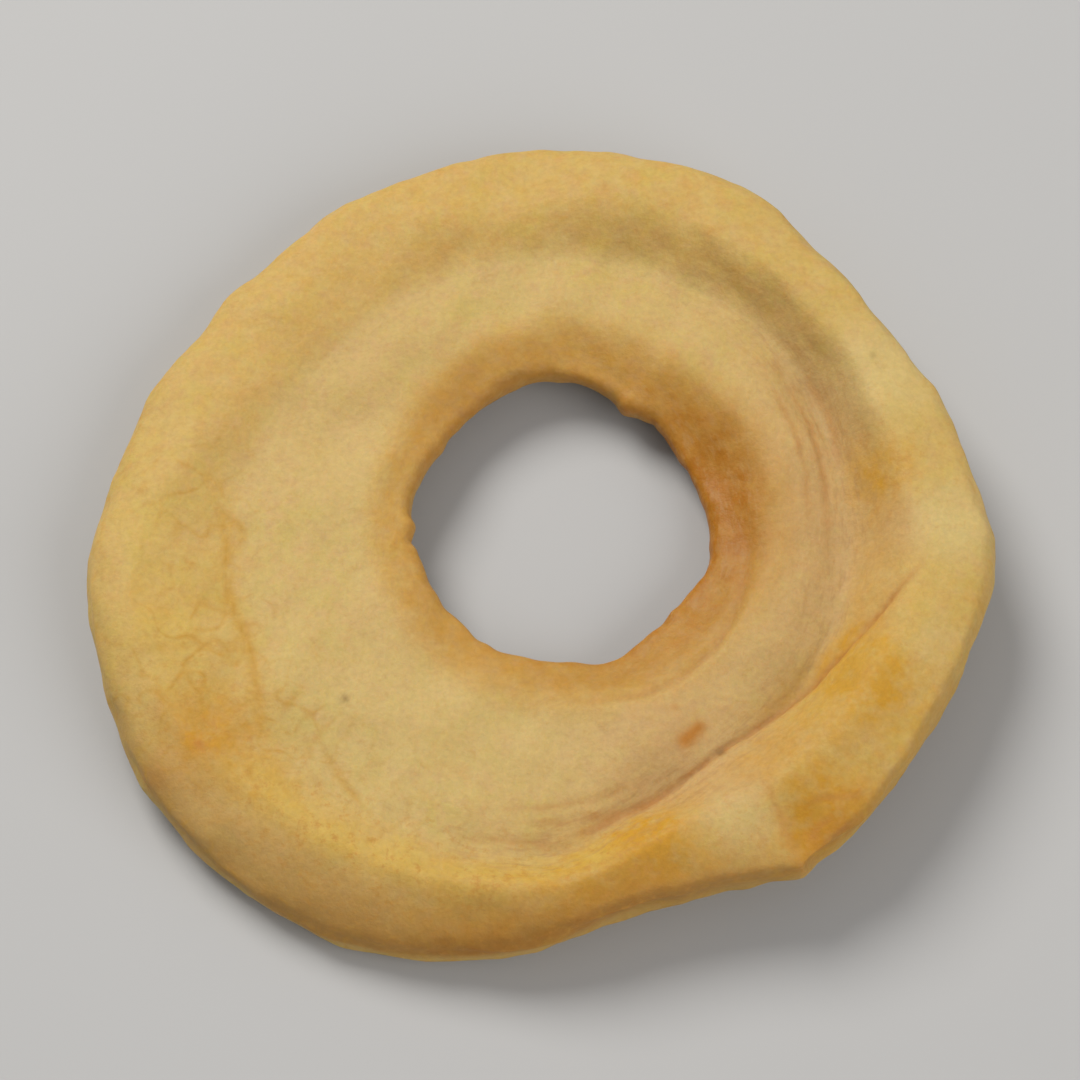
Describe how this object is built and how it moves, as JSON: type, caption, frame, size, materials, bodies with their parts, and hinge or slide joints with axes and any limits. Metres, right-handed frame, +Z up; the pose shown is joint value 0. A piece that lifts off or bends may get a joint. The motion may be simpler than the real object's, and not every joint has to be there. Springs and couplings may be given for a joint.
{
  "type": "dried apple ring",
  "caption": "Soft dried apple slice with a round cored hole, a puffed face and a curled rim, lying flat with its shown side up.",
  "frame": {"origin": "under the middle of the ring's outline, on the plane that it lies on", "axes": "+Z up out of the shown face, +X towards the high curled side of the rim, +Y towards the top of the ring as the picture shows it"},
  "size_m": [0.0762, 0.0728, 0.0107],
  "materials": {
    "dried_apple_flesh": "soft, velvety dried fruit flesh: cream face, golden-orange rim, low gloss"
  },
  "bodies": {
    "root": {"apple_ring": "dried_apple_flesh"}
  },
  "joints": []
}
